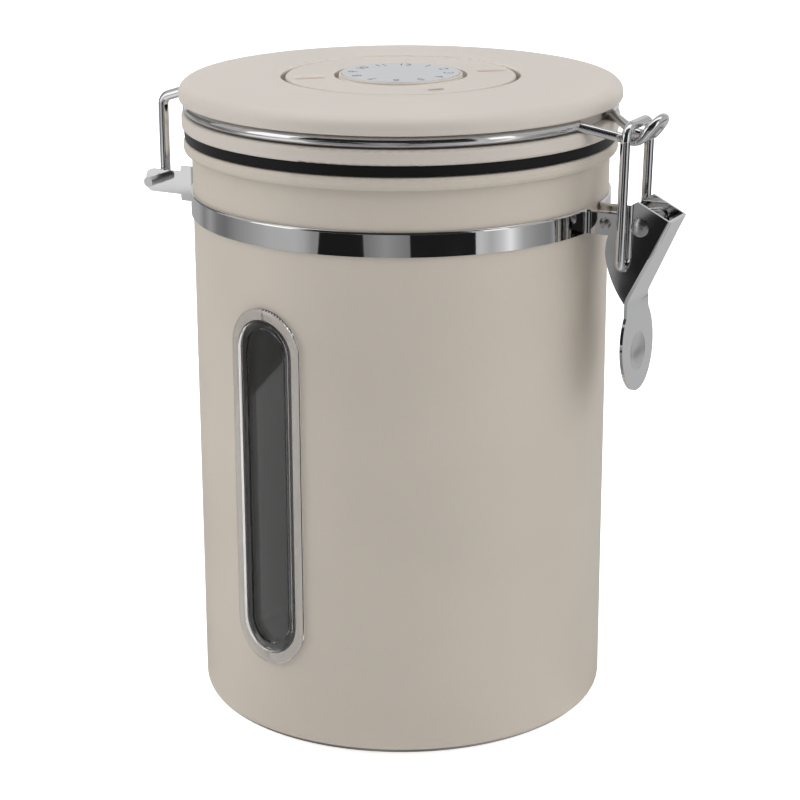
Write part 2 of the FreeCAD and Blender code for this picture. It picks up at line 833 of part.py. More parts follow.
# Catch loop: from one ring end, in to the crook, up round the tip and back to the other end
def make_latch_nose():
    half = plain("nose_half_width")
    weld = polar(plain("ring_radius"), -plain("ring_weld_angle"), plain("ring_height"))
    neck = Vector(plain("nose_neck_reach"), -half, plain("nose_neck_height"))
    crook = Vector(plain("nose_crook_reach"), -half, plain("nose_crook_height"))
    tip = Vector(plain("nose_tip_reach"), 0, plain("nose_tip_height"))
    rise = (tip - Vector(crook.x, 0, crook.z)).normalize()
    turn_start = Vector(tip.x, -half, tip.z) - rise * half
    edges = bent_path([weld, neck, crook, turn_start], [plain("nose_neck_bend"), plain("nose_crook_bend")])
    far_edges = bent_path(
        [mirrored(turn_start), mirrored(crook), mirrored(neck), mirrored(weld)],
        [plain("nose_crook_bend"), plain("nose_neck_bend")],
    )
    edges.append(arc(turn_start, tip, mirrored(turn_start)))
    new_feature("latch_nose", wire_solid(edges + far_edges, plain("nose_wire_diameter")))


# Lever
def lever_point(along, inside, across=0.0):
    """A point of the lever, measured along the spine from its top and inwards from its outer face."""
    tilt = math.radians(plain("lever_tilt"))
    down = Vector(-math.sin(tilt), 0, -math.cos(tilt))
    inwards = Vector(-math.cos(tilt), 0, math.sin(tilt))
    pivot = Vector(plain("pivot_reach"), 0, plain("pivot_height"))
    top = pivot - down * plain("spine_above_pivot") - inwards * plain("spine_outside_pivot")
    return top + down * along + inwards * inside + Vector(0, across, 0)


def lever_shares(shares):
    return lever_point(shares[0] * plain("cheek_length"), shares[1] * plain("cheek_depth"))


def link_foot():
    return lever_point(plain("link_foot_along"), plain("link_foot_inside"))


def cheek_outline():
    top_outer = lever_point(0, 0)
    top_inner = lever_point(0, plain("cheek_top_depth"))
    turn = lever_shares(CHEEK_TURN_SHARES)
    tail = lever_point(plain("cheek_length"), 0)
    edges = [
        line(top_outer, top_inner),
        arc(top_inner, lever_shares(CHEEK_BULGE_SHARES), turn),
        arc(turn, lever_shares(CHEEK_TAIL_SHARES), tail),
        line(tail, top_outer),
    ]
    return Part.Face(Part.Wire(edges))


def channel_section():
    """The folded channel's cross-section at its top, open towards the canister."""
    half = plain("lever_half_width")
    thickness = plain("lever_thickness")
    fold = plain("lever_fold_radius")
    depth = plain("cheek_depth") + plain("overrun")
    lean = math.sqrt(2) / 2

    def corner(side, radius):
        """A fold's three points on the given side, from the cheek to the spine."""
        middle = side * (half - fold)
        return [
            lever_point(0, fold, middle + side * radius),
            lever_point(0, fold - lean * radius, middle + side * lean * radius),
            lever_point(0, fold - radius, middle),
        ]

    edges = []
    for radius, wall in ((fold, 0), (fold - thickness, thickness)):
        left = corner(-1, radius)
        right = corner(1, radius)
        edges += [
            line(lever_point(0, depth, wall - half), left[0]),
            arc(*left),
            line(left[2], right[2]),
            arc(*right),
            line(right[0], lever_point(0, depth, half - wall)),
        ]
    edges += [
        line(lever_point(0, depth, -half), lever_point(0, depth, thickness - half)),
        line(lever_point(0, depth, half), lever_point(0, depth, half - thickness)),
    ]
    return Part.Face(Part.Wire(Part.__sortEdges__(edges)))


def tab_plan(start, centre_height):
    """A prism with the outline of the spine and the oval thumb tab, seen from outside."""
    depth = 2 * plain("cheek_depth")
    centre = Vector(start, 0, centre_height)
    bottom = centre - Vector(0, 0, plain("tab_half_height"))
    oval = Part.Ellipse(bottom, centre + Vector(0, plain("tab_half_width"), 0), centre)
    tab = Part.Face(Part.Wire([oval.toShape()])).extrude(Vector(depth, 0, 0))
    narrow = plain("lever_half_width") - plain("lever_fold_radius")
    wide = plain("neck_half_width")
    top = plain("pivot_height")
    low = centre_height + plain("tab_half_height") / 2
    corners = [Vector(start, -narrow, top), Vector(start, -wide, low)]
    corners += [mirrored(corner) for corner in reversed(corners)]
    neck = Part.Face(Part.makePolygon(corners + corners[:1])).extrude(Vector(depth, 0, 0))
    return tab.fuse(neck)


def thumb_strip():
    """The spine's strip from the channel down, bent upright at the neck, with a dished oval tab."""
    thickness = plain("lever_thickness")
    wide = Vector(0, plain("tab_half_width"), 0)
    top = lever_point(plain("neck_root"), thickness / 2)
    low = lever_point(plain("spine_length"), thickness / 2)
    tab_height = plain("pivot_height") - plain("tab_end_drop") + plain("tab_half_height")
    end_height = tab_height - plain("tab_half_height") - plain("overrun")
    end = Vector(low.x + plain("tab_lean"), 0, end_height)
    path = Part.Wire(bent_path([top, low, end], [plain("neck_bend")]))
    side = (low - top).normalize().cross(Vector(0, 1, 0)) * (thickness / 2)
    corners = [top + side - wide, top + side + wide, top - side + wide, top - side - wide]
    strip = path.makePipeShell([Part.makePolygon(corners + corners[:1])], True, False)
    strip = strip.common(tab_plan(low.x - plain("cheek_depth"), tab_height))
    mouth = plain("tab_dish_radius")
    depth = plain("tab_dish_depth")
    ball = (mouth ** 2 + depth ** 2) / (2 * depth)
    along = (end - low).normalize()
    outward = along.cross(Vector(0, 1, 0))
    reach = (tab_height - plain("tab_dish_drop") - low.z) / along.z
    face = low + along * reach + outward * (thickness / 2)
    centre = face + outward * (ball - depth)
    back = Part.makeCylinder(mouth + thickness, ball, face, outward * -1)
    shell = Part.makeSphere(ball + thickness, centre).common(back)
    return strip.fuse(shell).cut(Part.makeSphere(ball, centre))


def make_latch_lever():
    half = plain("lever_half_width")
    sides = cheek_outline().extrude(Vector(0, 2 * half, 0))
    sides.translate(Vector(0, -half, 0))
    channel = channel_section().extrude(lever_point(plain("cheek_length"), 0) - lever_point(0, 0))
    lever = channel.common(sides).fuse(thumb_strip()).removeSplitter()
    across = half + plain("overrun")
    bore = plain("pivot_radius") + plain("pivot_clearance")
    lever = lever.cut(cross_pin(bore, plain("pivot_reach"), plain("pivot_height"), across))
    foot = link_foot()
    eye = plain("link_wire_diameter") / 2 + plain("link_clearance")
    lever = lever.cut(cross_pin(eye, foot.x, foot.z, across))
    new_feature("latch_lever", lever)
    pivot = two_headed_rivet(
        plain("pivot_radius"),
        plain("pivot_head_radius"),
        plain("pivot_head_height"),
        plain("pivot_reach"),
        plain("pivot_height"),
        half + plain("lever_side_gap"),
    )
    new_feature("lever_pivot", pivot)


# Link
def make_latch_link():
    half = plain("link_half_width")
    foot = link_foot()
    top = Vector(plain("link_reach"), 0, plain("link_height"))
    inner_end = plain("link_foot_end")
    near = [
        Vector(foot.x, -inner_end, foot.z),
        Vector(foot.x, -half, foot.z),
        Vector(top.x, -half, top.z),
    ]
    points = near + [mirrored(point) for point in reversed(near)]
    foot_bend = plain("link_foot_bend")
    corner_bend = plain("link_corner_bend")
    edges = bent_path(points, [foot_bend, corner_bend, corner_bend, foot_bend])
    new_feature("latch_link", wire_solid(edges, plain("link_wire_diameter")))


# Lid cover with the dial's recess
def make_lid_cover():
    body = new_body("lid_cover")
    hole = S.cap_spigot_radius + S.cap_spigot_clearance
    edge = S.lid_height - S.lid_crown
    inside = S.lid_neck_radius - S.lid_neck_wall
    revolve(body, "cover", [
        (hole, S.lid_top_under_height),
        (hole, S.recess_floor_height),
        (S.recess_radius, S.recess_floor_height),
        (S.recess_radius, S.lid_height),
        (S.lid_radius, edge),
        (S.lid_radius, S.lid_under_height),
        (S.lid_neck_radius, S.lid_under_height),
        (S.lid_neck_radius, S.lid_split_height),
        (inside, S.lid_split_height),
        (inside, S.lid_top_under_height),
    ])
    round_rings(body, "cover_edge", [(S.lid_radius, edge)], S.lid_edge_round)
    round_rings(body, "cover_under_edge", [(S.lid_radius, S.lid_under_height)], S.lid_under_round)


# Lid base: flange, plug and the valve's vents and post
def make_lid_base():
    body = new_body("lid_base")
    floor_top = S.plug_under_height + S.plug_floor
    inner = S.plug_radius - S.plug_wall
    post_top = floor_top + S.post_height
    revolve(body, "base", [
        (0, S.plug_under_height),
        (S.plug_radius, S.plug_under_height),
        (S.plug_radius, S.flange_under_height),
        (S.flange_radius, S.flange_under_height),
        (S.flange_radius, S.lid_split_height),
        (inner, S.lid_split_height),
        (inner, floor_top),
        (S.post_radius, floor_top),
        (S.post_radius, post_top),
        (0, post_top),
    ])
    rim = [(S.flange_radius, S.flange_under_height), (S.flange_radius, S.lid_split_height)]
    round_rings(body, "flange_edge", rim, S.flange_round)
    vents = new_sketch(body, "vent_circles", "XY_Plane")
    for number in range(VENT_COUNT):
        spot = polar(plain("vent_ring_radius"), 360 * number / VENT_COUNT)
        circle = vents.addGeometry(Part.Circle(spot, Vector(0, 0, 1), plain("vent_radius")))
        width = vents.addConstraint(Sketcher.Constraint("Radius", circle, plain("vent_radius")))
        vents.setExpression(f"Constraints[{width}]", S.vent_radius.text)
        turn = math.radians(360 * number / VENT_COUNT)
        pin_signed(vents, circle, S.vent_ring_radius * math.cos(turn), S.vent_ring_radius * math.sin(turn))
    upright_cut(body, "vents", vents, floor_top + S.overrun, reverse=True)


def pin_signed(sketch, circle, across, up):
    """Hold a circle's centre at coordinates that may lie on either side of the axes."""
    for kind, axis, length in (("DistanceX", -2, across), ("DistanceY", -1, up)):
        if abs(float(length)) < MATCH:
            sketch.addConstraint(Sketcher.Constraint("PointOnObject", circle, 3, axis))
            continue
        number = sketch.addConstraint(Sketcher.Constraint(kind, -1, 1, circle, 3, float(length)))
        sketch.setExpression(f"Constraints[{number}]", length.text)


def make_lid_gasket():
    body = new_body("lid_gasket")
    bottom = S.body_height + S.seal_rest_gap
    inner = S.plug_radius + S.seal_fit
    revolve(body, "gasket", [
        (inner, bottom),
        (S.seal_bottom_radius, bottom),
        (S.seal_top_radius, S.flange_under_height),
        (inner, S.flange_under_height),
    ])


# Dial
def raise_on_dial(body, name, sketch, angle, height):
    """Raise an outline above the dial's top, from the same depth below it."""
    turn_sketch(sketch, Vector(0, 0, 1), angle)
    sketch.setExpression("AttachmentOffset.Base.z", (S.lid_height - height).text)
    raised = body.newObject("PartDesign::Pad", name)
    raised.Profile = sketch
    bind(raised, "Length", height * 2)
    doc.recompute()
    return raised


def make_dial():
    pocket = S.lid_height - S.dial_pocket_depth
    bore = S.cap_stem_radius + S.dial_clearance
    dial_bottom = S.recess_floor_height + S.dial_float
    body = new_body("dial_disc")
    revolve(body, "dial", [
        (bore, dial_bottom),
        (S.dial_radius, dial_bottom),
        (S.dial_radius, S.lid_height),
        (S.dial_pocket_radius, S.lid_height),
        (S.dial_pocket_radius, pocket),
        (bore, pocket),
    ])
    round_rings(body, "dial_edge", [(S.dial_radius, S.lid_height)], S.dial_round)
    half = S.pointer_width / 2
    away = S.pointer_reach + S.pointer_length
    corners = [(S.pointer_reach, 0), (away, half), (away, half * -1)]
    pointer = outline(body, "pointer_outline", "XY_Plane", corners)
    raise_on_dial(body, "pointer", pointer, S.pointer_angle.text, S.pointer_height)
    ribs = new_sketch(body, "rib_outline", "XY_Plane")
    obround(ribs, S.rib_width, S.rib_length, S.rib_reach)
    rib = raise_on_dial(body, "rib", ribs, f"{S.rib_angle.text} - 90", S.rib_height)
    pair = body.newObject("PartDesign::PolarPattern", "rib_pair")
    pair.Originals = [rib]
    pair.Axis = (ribs, ["N_Axis"])
    pair.Angle = 360
    pair.Occurrences = 2
    body.Tip = pair
    doc.recompute()
    rib_top = plain("lid_height") + plain("rib_height")
    edges = [
        f"Edge{number}"
        for number, edge in enumerate(pair.Shape.Edges, start=1)
        if abs(edge.BoundBox.ZMin - rib_top) < MATCH and abs(edge.BoundBox.ZMax - rib_top) < MATCH
    ]
    softened = body.newObject("PartDesign::Fillet", "rib_edges")
    softened.Base = (pair, edges)
    bind(softened, "Radius", S.rib_round)
    doc.recompute()

    cap = new_body("dial_cap")
    cap_under = pocket + S.dial_play
    cap_top = S.lid_height + S.cap_proud
    plate_seat = cap_top - S.plate_recess
    spigot_end = S.lid_top_under_height + S.cap_spigot_gap
    screw_top = spigot_end + S.dial_screw_depth
    revolve(cap, "cap", [
        (S.dial_screw_radius, spigot_end),
        (S.cap_spigot_radius, spigot_end),
        (S.cap_spigot_radius, S.recess_floor_height),
        (S.cap_stem_radius, S.recess_floor_height),
        (S.cap_stem_radius, cap_under),
        (S.cap_radius, cap_under),
        (S.cap_radius, cap_top),
        (S.plate_radius + S.plate_clearance, cap_top),
        (S.plate_radius + S.plate_clearance, plate_seat),
        (0, plate_seat),
        (0, screw_top),
        (S.dial_screw_radius, screw_top),
    ])
    round_rings(cap, "cap_edge", [(S.cap_radius, cap_top)], S.cap_round)

    plate = doc.addObject("Part::Cylinder", "number_plate")
    plate.Label = "number_plate"
    bind(plate, "Radius", S.plate_radius)
    bind(plate, "Height", S.plate_thickness)
    bind(plate, "Placement.Base.z", plate_seat)
    nodes.append(plate)

    washer = new_body("dial_washer")
    washer_bottom = S.lid_top_under_height - S.dial_washer_thickness
    revolve(washer, "washer", [
        (S.dial_screw_radius, washer_bottom),
        (S.dial_washer_radius, washer_bottom),
        (S.dial_washer_radius, S.lid_top_under_height),
        (S.dial_screw_radius, S.lid_top_under_height),
    ])

    screw = new_body("dial_screw")
    head = washer_bottom - S.dial_screw_head_height
    revolve(screw, "screw", [
        (0, head),
        (S.dial_screw_head_radius, head),
        (S.dial_screw_head_radius, washer_bottom),
        (S.dial_screw_radius, washer_bottom),
        (S.dial_screw_radius, screw_top),
        (0, screw_top),
    ])


# One-way valve: disc, cage, filter and grille
def make_valve():
    floor_top = S.plug_under_height + S.plug_floor
    disc_bottom = floor_top + S.valve_seat_gap
    disc_top = disc_bottom + S.valve_thickness
    disc = new_body("valve_disc")
    hole = S.post_radius + S.valve_clearance
    revolve(disc, "disc", [
        (hole, disc_bottom),
        (S.valve_radius, disc_bottom),
        (S.valve_radius, disc_top),
        (hole, disc_top),
    ])

    roof_under = disc_top + S.valve_lift + S.valve_stop_gap
    roof_top = roof_under + S.cage_roof
    cage = new_body("valve_cage")
    revolve(cage, "cage", [
        (S.cage_inner_radius, floor_top),
        (S.cage_radius, floor_top),
        (S.cage_radius, roof_top),
        (S.post_radius, roof_top),
        (S.post_radius, roof_under),
        (S.cage_inner_radius, roof_under),
    ])
    slot = outline(cage, "cage_slot", "XZ_Plane", [
        (S.cage_slot_width / 2, floor_top),
        (S.cage_slot_width / 2, roof_under),
        (S.cage_slot_width / -2, roof_under),
        (S.cage_slot_width / -2, floor_top),
    ])
    cut = cage.newObject("PartDesign::Pocket", "cage_slots")
    cut.Profile = slot
    cut.Midplane = True
    bind(cut, "Length", (S.cage_radius + S.overrun) * 2)
    doc.recompute()

    seat = S.plug_under_height
    grille_bottom = seat - S.grille_height
    inner = S.grille_radius - S.grille_wall
    grille = new_body("valve_grille")
    revolve(grille, "grille", [
        (0, grille_bottom),
        (S.grille_radius, grille_bottom),
        (S.grille_radius, seat),
        (inner, seat),
        (inner, grille_bottom + S.grille_floor),
        (0, grille_bottom + S.grille_floor),
    ])
    holes = new_sketch(grille, "grille_holes", "XY_Plane")
    places = [(0, 0)]
    for ring in range(1, GRILLE_RINGS + 1):
        count = 6 * ring
        places += [(ring, 360 * number / count) for number in range(count)]
    for ring, degrees in places:
        turn = math.radians(degrees)
        reach = S.grille_hole_pitch * ring
        spot = polar(reach.value, degrees)
        circle = holes.addGeometry(Part.Circle(spot, Vector(0, 0, 1), plain("grille_hole_radius")))
        width = holes.addConstraint(Sketcher.Constraint("Radius", circle, plain("grille_hole_radius")))
        holes.setExpression(f"Constraints[{width}]", S.grille_hole_radius.text)
        pin_signed(holes, circle, reach * math.cos(turn), reach * math.sin(turn))
    upright_cut(grille, "grille_openings", holes, seat + S.overrun, reverse=True)

    filter_disc = doc.addObject("Part::Cylinder", "valve_filter")
    filter_disc.Label = "valve_filter"
    bind(filter_disc, "Radius", inner - S.filter_clearance)
    bind(filter_disc, "Height", S.filter_thickness)
    bind(filter_disc, "Placement.Base.z", grille_bottom + S.grille_floor)
    nodes.append(filter_disc)


def check_document():
    for item in doc.Objects:
        if "Invalid" in item.State or "Error" in item.State:
            raise RuntimeError(f"{item.Label} failed: {item.State}")
    for node in nodes:
        shape = node.Shape
        if shape.isNull() or not shape.isValid() or not shape.Solids:
            raise RuntimeError(f"{node.Label} has no valid solid")


make_canister_body()
make_window()
make_clamp_band()
make_hinge_bracket()
make_ring()
make_latch_nose()
make_latch_lever()
make_latch_link()
make_lid_cover()
make_lid_base()
make_lid_gasket()
make_dial()
make_valve()
doc.recompute()
check_document()
os.makedirs("parts", exist_ok=True)
for node in nodes:
    node.Shape.exportStep(f"parts/{node.Label}.step")
    print(f"{node.Label}: {len(node.Shape.Solids)} solid, {node.Shape.Volume:.1f} mm3")
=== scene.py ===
import math

import bpy
from bpy.props import FloatProperty, FloatVectorProperty, PointerProperty
from mathutils import Euler, Matrix, Vector


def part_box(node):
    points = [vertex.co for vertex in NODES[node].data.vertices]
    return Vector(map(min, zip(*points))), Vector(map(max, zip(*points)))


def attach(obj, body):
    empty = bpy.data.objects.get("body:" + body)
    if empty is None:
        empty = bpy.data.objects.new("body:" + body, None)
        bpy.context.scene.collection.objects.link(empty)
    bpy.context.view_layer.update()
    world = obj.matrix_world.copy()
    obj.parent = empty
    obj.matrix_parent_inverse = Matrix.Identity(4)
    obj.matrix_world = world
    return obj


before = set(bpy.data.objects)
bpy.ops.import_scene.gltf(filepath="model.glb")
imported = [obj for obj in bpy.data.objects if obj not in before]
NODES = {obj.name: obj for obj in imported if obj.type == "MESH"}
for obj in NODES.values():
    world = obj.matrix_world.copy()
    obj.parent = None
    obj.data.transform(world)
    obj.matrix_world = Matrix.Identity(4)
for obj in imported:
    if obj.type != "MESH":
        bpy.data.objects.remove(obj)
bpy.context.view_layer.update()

bl_info = {
    "name": "Coffee canister finishes",
    "version": (1, 0, 0),
    "blender": (4, 5, 0),
    "location": "View3D > Sidebar > Canister",
    "description": "Dresses the coffee canister with its finishes, its dial numbers and a studio",
    "category": "Object",
}

# Greys of the ground card, by direction round the canister: 180 is towards the camera
GREY_FIELDS = (
    (40, 0.40), (50, 0.24), (58, 0.36), (66, 0.20), (74, 0.17), (84, 0.27), (97, 0.37), (108, 0.46),
    (124, 0.48), (129, 0.42), (134, 0.27), (163, 0.20), (172, 0.30), (184, 0.20), (215, 0.48), (221, 0.58),
    (227, 0.44), (233, 0.62), (238, 0.92), (242, 0.60), (246, 0.40), (255, 0.28), (264, 0.22), (267, 0.36),
    (300, 0.50), (312, 0.51), (335, 0.46),
)
# Cards that lie on the ground and show only in the bright metal and the window
GROUND_CARDS = (
    (
        "dark_card_left",
        0.012,
        [
            (-0.108, -0.44), (-0.131, -0.493), (-0.152, -0.55), (-0.170, -0.61), (-0.172, -0.66),
            (-0.42, -2.6), (0.17, -2.6), (0.1005, -0.525), (0.08, -0.38),
        ],
    ),
    ("dark_card_right", 0.012, [(0.325, -0.503), (1.5, -2.6), (2.4, -1.1), (0.551, -0.239)]),
    ("dark_card_side", 0.012, [(0.517, 0.263), (0.891, 0.454), (0.438, 0.899), (0.254, 0.521)]),
    (
        "dark_card_window",
        0.28,
        [
            (-0.25, -0.40), (-0.268, -0.335), (-0.294, -0.277), (-0.309, -0.221), (-0.318, -0.15),
            (-0.52, -0.16), (-0.45, -0.37), (-0.33, -0.48), (-0.25, -0.50),
        ],
    ),
    (
        "pale_card_window",
        0.80,
        [
            (-0.25, -0.40), (-0.268, -0.335), (-0.294, -0.277), (-0.309, -0.221), (-0.318, -0.15),
            (-0.28, -0.10), (-0.10, -0.05), (-0.05, -0.10), (-0.14, -0.36),
        ],
    ),
    ("pale_card", 0.81, [(-0.3675, -0.6365), (-0.450, -0.779), (-0.647, -0.625), (-0.5287, -0.5106)]),
)
# Cards that stand round the canister: grey, directions from and to, foot and head heights
STANDING_CARDS = (
    ("dark_wall_front", 0.02, -114, -24, 0.12, 1.6),
    ("pale_panel_left", 1.2, -146, -119, 0.02, 1.1),
    ("pale_panel_right", 1.25, -17, -3, 0.02, 0.8),
    ("grey_wall_left", 0.15, 150, 185, 0.1, 0.9),
    ("pale_wall_back", 0.64, 75, 148, 0.05, 1.2),
)
# Strips overhead, from behind the canister to the camera's side: grey, from and to
CEILING_STRIPS = (
    ("dark_strip_back", 0.40, -1.2, -0.38),
    ("pale_strip", 1.2, -0.38, 0.38),
    ("dark_strip_front", 0.05, 0.38, 1.25),
)
# Range in which most values of a noise texture lie
NOISE_SPREAD = (0.3, 0.7)
# The steel is bare inside this radius and above this height
BARE_RADIUS = 0.05955
BARE_HEIGHT = 0.00075
# Painted light on the walls of the ribs and of the gaps: soft edges, depths at which it starts, margin
# round the gap
RIB_FADE = 0.00003
GAP_FADE = 0.00002
GAP_DEPTHS = (0.0009, 0.0004)
GAP_MARGIN = 0.0002
# The numbers are sunk in the plate by the first and drawn out by the second
NUMERAL_SINK = 0.00001
NUMERAL_RISE = 0.00003
# Heights of the grey fields and of the cards on the ground, and facets of a standing card
FIELD_HEIGHT = 0.0002
CARD_HEIGHT = 0.0004
CARD_STEPS = 8
# The floor's glow under the canister's edge fades out between these radii
FOOT_RADII = (0.060, 0.070)


class CanisterFinishes(bpy.types.PropertyGroup):
    """Colours and grain of the canister's surfaces"""

    coat: FloatVectorProperty(
        name="Body coat",
        description="Matte coat on the steel body",
        subtype="COLOR",
        min=0.0,
        max=1.0,
        default=(0.462, 0.415, 0.357),
    )
    lid: FloatVectorProperty(
        name="Lid plastic",
        description="Moulded plastic of the lid and the dial",
        subtype="COLOR",
        min=0.0,
        max=1.0,
        default=(0.500, 0.458, 0.418),
    )
    chrome: FloatVectorProperty(
        name="Bright metal",
        description="Polished strap, wires and lever",
        subtype="COLOR",
        min=0.0,
        max=1.0,
        default=(0.80, 0.80, 0.81),
    )
    seal: FloatVectorProperty(
        name="Seal rubber",
        description="Black seal between lid and lip",
        subtype="COLOR",
        min=0.0,
        max=1.0,
        default=(0.006, 0.006, 0.006),
    )
    numeral: FloatVectorProperty(
        name="Numerals",
        description="Paint of the dial's numbers",
        subtype="COLOR",
        min=0.0,
        max=1.0,
        default=(0.12, 0.12, 0.13),
    )


class CanisterSizes(bpy.types.PropertyGroup):
    """Sizes of the pieces that are added to the solids"""

    numeral_height: FloatProperty(
        name="Numeral height",
        description="Letter size of the dial's numbers",
        unit="LENGTH",
        default=0.0042,
    )
    numeral_radius: FloatProperty(
        name="Numeral ring",
        description="Radius of the circle that the numbers stand on",
        unit="LENGTH",
        default=0.0135,
    )
    numeral_turn: FloatProperty(
        name="Numeral turn",
        description="Direction of the highest number, from the latch side",
        unit="ROTATION",
        default=math.radians(112.6),
    )
    ring_radius: FloatProperty(
        name="Ring radius",
        description="Radius of the wire ring's centre line",
        unit="LENGTH",
        default=0.0608,
    )
    ring_height: FloatProperty(
        name="Ring height",
        description="Height of the wire ring's centre line",
        unit="LENGTH",
        default=0.17715,
    )
    weld_turn: FloatProperty(
        name="Weld turn",
        description="Direction of each weld, from the latch side",
        unit="ROTATION",
        default=math.radians(11),
    )
    weld_radius: FloatProperty(
        name="Weld radius",
        description="Thickness of each weld bead",
        unit="LENGTH",
        default=0.0017,
    )
    edge_roll: FloatProperty(
        name="Edge roll",
        description="Width of the strap's rolled upper edge",
        unit="LENGTH",
        default=0.0007,
    )
    dish_centre: FloatVectorProperty(
        name="Dish centre",
        description="Middle of the pressed dish in the lever's tab",
        subtype="TRANSLATION",
        unit="LENGTH",
        default=(0.0755, 0.0, 0.1128),
    )
    dish_radius: FloatProperty(
        name="Dish radius",
        description="Radius of the pressed dish in the lever's tab",
        unit="LENGTH",
        default=0.0056,
    )
    stub_centre: FloatVectorProperty(
        name="Stub centre",
        description="Middle of the far hinge stub; the near one mirrors it",
        subtype="TRANSLATION",
        unit="LENGTH",
        default=(-0.0745, 0.0172, 0.1502),
    )
    stub_radius: FloatProperty(
        name="Stub reach",
        description="How far round its middle a hinge stub is dull",
        unit="LENGTH",
        default=0.0042,
    )
    rib_rise: FloatProperty(
        name="Rib rise",
        description="Height of the dial's finger ribs over its ring",
        unit="LENGTH",
        default=0.0009,
    )
    # Painted light: factor by which the colour of the rib walls is raised so that they look lit
    rib_gain: FloatProperty(
        name="Rib gain",
        description="How much paler the walls of the ribs are",
        default=1.42,
    )
    pointer_centre: FloatVectorProperty(
        name="Pointer centre",
        description="Middle of the dial's pointer",
        subtype="TRANSLATION",
        unit="LENGTH",
        default=(0.0203, -0.0182, 0.184),
    )
    # The rib walls get painted light only from about this distance from the pointer on
    pointer_room: FloatProperty(
        name="Pointer room",
        description="Distance from the pointer at which walls are paler",
        unit="LENGTH",
        default=0.006,
    )
    dial_gap: FloatProperty(
        name="Dial gap",
        description="Gap between the dial's ring and the lid",
        unit="LENGTH",
        default=0.0015,
    )
    # Painted light: factor by which the colour of the lid's walls in the dial's gap is raised, against the
    # shade in the gap
    gap_gain: FloatProperty(
        name="Gap gain",
        description="How much paler the walls of the gaps are",
        default=1.8,
    )


class CanisterStudio(bpy.types.PropertyGroup):
    """Camera, light and reflecting cards"""

    azimuth: FloatProperty(
        name="Azimuth",
        description="Camera's turn round the canister",
        unit="ROTATION",
        default=math.radians(28),
    )
    distance: FloatProperty(
        name="Distance",
        description="Camera's distance from the axis",
        unit="LENGTH",
        default=0.65349,
    )
    height: FloatProperty(
        name="Height",
        description="Camera's height over the floor",
        unit="LENGTH",
        default=0.2933,
    )
    pitch: FloatProperty(
        name="Pitch",
        description="How far the camera looks down",
        unit="ROTATION",
        default=math.radians(17.48),
    )
    yaw: FloatProperty(
        name="Yaw",
        description="How far the camera looks past the axis",
        unit="ROTATION",
        default=math.radians(0.045),
    )
    roll: FloatProperty(
        name="Roll",
        description="How far the camera leans to one side",
        unit="ROTATION",
        default=-0.0035,
    )
    lens: FloatProperty(
        name="Lens",
        description="Focal length",
        unit="CAMERA",
        default=103.43,
    )
    ambient: FloatProperty(
        name="Ambient",
        description="Even light from all round",
        default=0.46,
    )
    foot_glow: FloatProperty(
        name="Foot glow",
        description="Light that the floor throws on the canister's lowest edge",
        default=0.4,
    )
    wall_radius: FloatProperty(
        name="Wall radius",
        description="Distance of the standing cards from the axis",
        unit="LENGTH",
        default=1.25,
    )
    ceiling_height: FloatProperty(
        name="Ceiling height",
        description="Height of the strips overhead",
        unit="LENGTH",
        default=1.6,
    )
    ceiling_reach: FloatProperty(
        name="Ceiling reach",
        description="Half the length of the strips overhead",
        unit="LENGTH",
        default=1.3,
    )


def new_material(name):
    """A node material with its shader and an Object coordinate output."""
    material = bpy.data.materials.new(name)
    material.use_nodes = True
    nodes = material.node_tree.nodes
    shader = nodes["Principled BSDF"]
    coordinate = nodes.new("ShaderNodeTexCoord")
    return material, material.node_tree, shader, coordinate.outputs["Object"]


def new_group(name, inputs, outputs):
    group = bpy.data.node_groups.new(name, "ShaderNodeTree")
    for label, kind, value in inputs:
        socket = group.interface.new_socket(name=label, in_out="INPUT", socket_type=kind)
        if value is not None:
            socket.default_value = value
    for label, kind in outputs:
        group.interface.new_socket(name=label, in_out="OUTPUT", socket_type=kind)
    return group, group.nodes.new("NodeGroupInput").outputs, group.nodes.new("NodeGroupOutput").inputs


def add_node(tree, kind, settings=None, values=None):
    node = tree.nodes.new(kind)
    for key, value in (settings or {}).items():
        setattr(node, key, value)
    for key, value in (values or {}).items():
        if isinstance(value, bpy.types.NodeSocket):
            tree.links.new(value, node.inputs[key])
        else:
            node.inputs[key].default_value = value
    return node


def map_range(tree, value, low, high, start=0.0, end=1.0):
    values = {"Value": value, "From Min": start, "From Max": end, "To Min": low, "To Max": high}
    return add_node(tree, "ShaderNodeMapRange", None, values).outputs["Result"]


def math_node(tree, operation, first, second=0.0):
    node = add_node(tree, "ShaderNodeMath", {"operation": operation}, {0: first, 1: second})
    return node.outputs["Value"]


